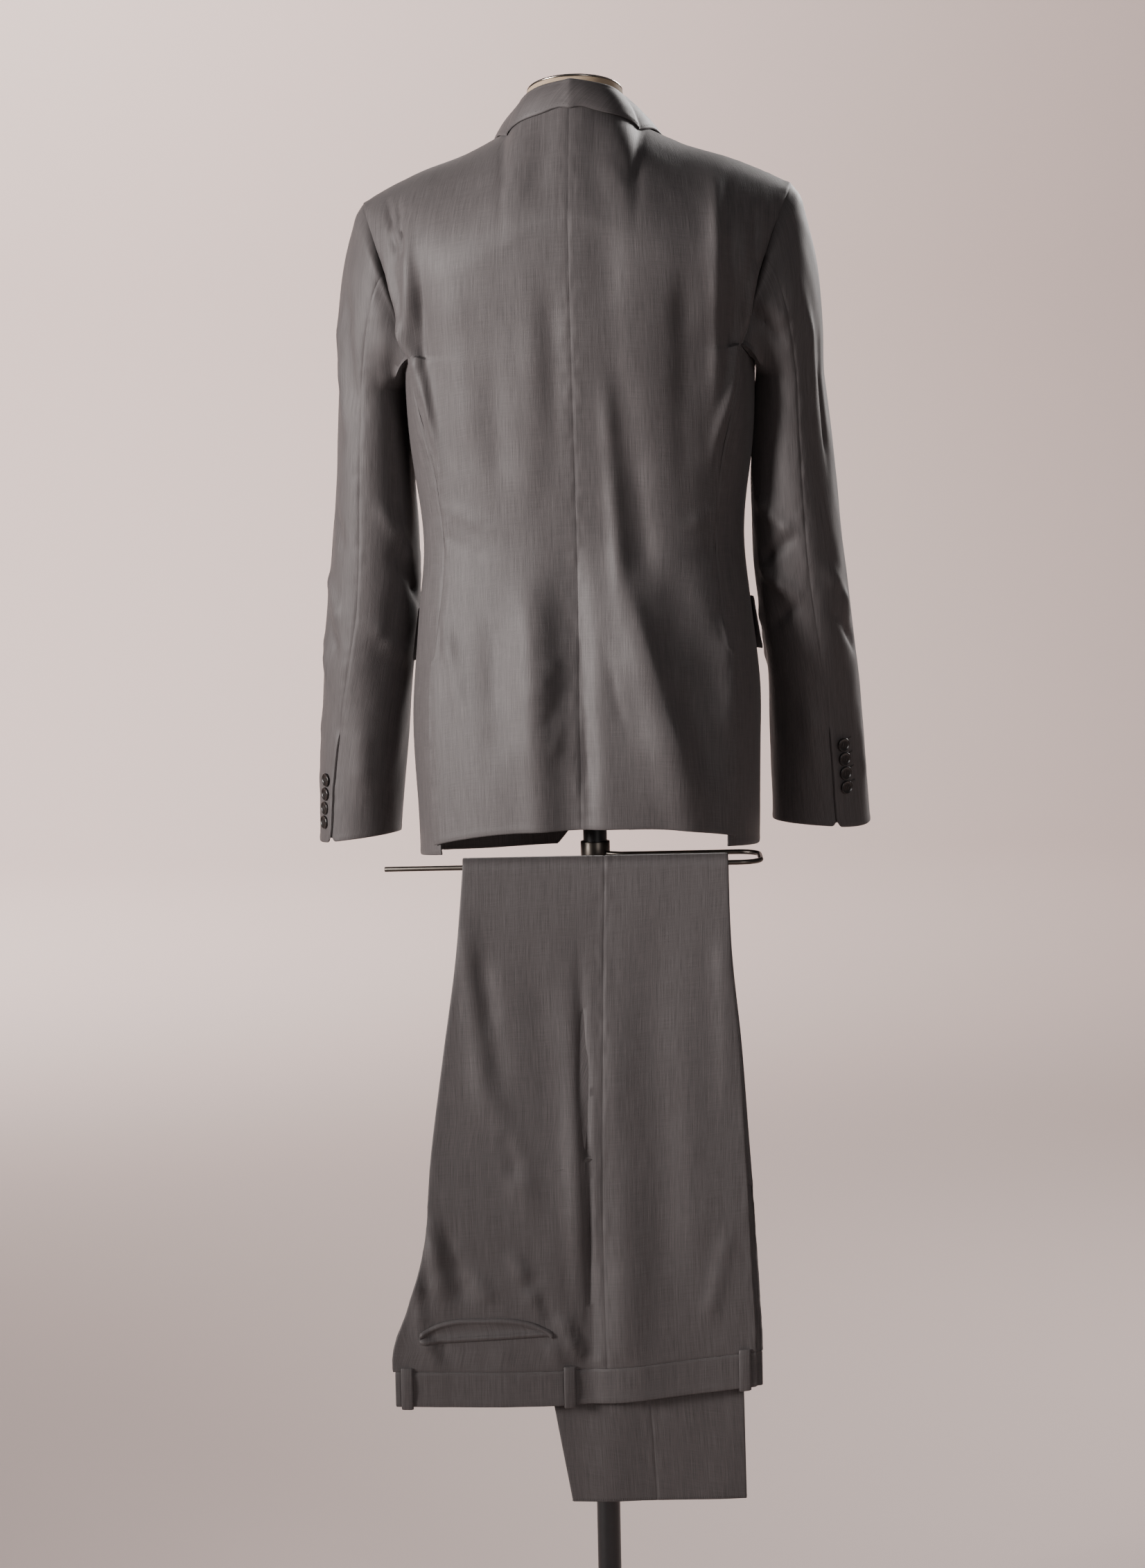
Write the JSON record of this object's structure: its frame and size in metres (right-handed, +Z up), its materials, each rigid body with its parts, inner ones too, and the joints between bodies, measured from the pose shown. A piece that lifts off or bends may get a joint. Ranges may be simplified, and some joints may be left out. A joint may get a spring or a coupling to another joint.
{
  "type": "two-piece suit on a limbless dress form and pole stand",
  "caption": "Suit jacket hung on a limbless dress form, its trousers folded over a hairpin bar on the pole stand.",
  "frame": {"origin": "on the floor, at the middle of the base's underside, on the pole's axis", "axes": "+Z up along the pole, +X towards the wearer's right, +Y towards the jacket's front"},
  "size_m": [0.5644, 0.3, 1.632],
  "materials": {
    "worsted": "fine worsted, soft sheen",
    "button_horn": "satin horn",
    "form_cloth": "matte woven",
    "cap_metal": "brushed",
    "gunmetal": "dark plated",
    "screw_steel": "bright",
    "black_satin": "satin"
  },
  "bodies": {
    "root": {"back_left": "worsted", "side_left": "worsted", "front_left": "worsted", "top_sleeve_left": "worsted", "under_sleeve_left": "worsted", "lapel_left": "worsted", "hip_flap_left": "worsted", "trouser_back_left": "worsted", "trouser_front_left": "worsted", "waistband_left": "worsted", "belt_loop_side_left": "worsted", "belt_loop_front_left": "worsted", "back_pocket_jets_left": "worsted", "back_right": "worsted", "side_right": "worsted", "front_right": "worsted", "top_sleeve_right": "worsted", "under_sleeve_right": "worsted", "lapel_right": "worsted", "hip_flap_right": "worsted", "trouser_back_right": "worsted", "trouser_front_right": "worsted", "waistband_right": "worsted", "belt_loop_side_right": "worsted", "belt_loop_front_right": "worsted", "back_pocket_jets_right": "worsted", "collar": "worsted", "belt_loop_back": "worsted", "front_button_1": "button_horn", "front_button_2": "button_horn", "cuff_button_left_1": "button_horn", "cuff_button_left_2": "button_horn", "cuff_button_left_3": "button_horn", "cuff_button_left_4": "button_horn", "cuff_button_right_1": "button_horn", "cuff_button_right_2": "button_horn", "cuff_button_right_3": "button_horn", "cuff_button_right_4": "button_horn", "form_body": "form_cloth", "neck_cap": "cap_metal", "stand_base": "black_satin", "stand_pole": "black_satin", "form_plate": "black_satin", "bar_collar": "gunmetal", "trouser_bar": "gunmetal", "collar_screw": "screw_steel"}
  },
  "joints": []
}
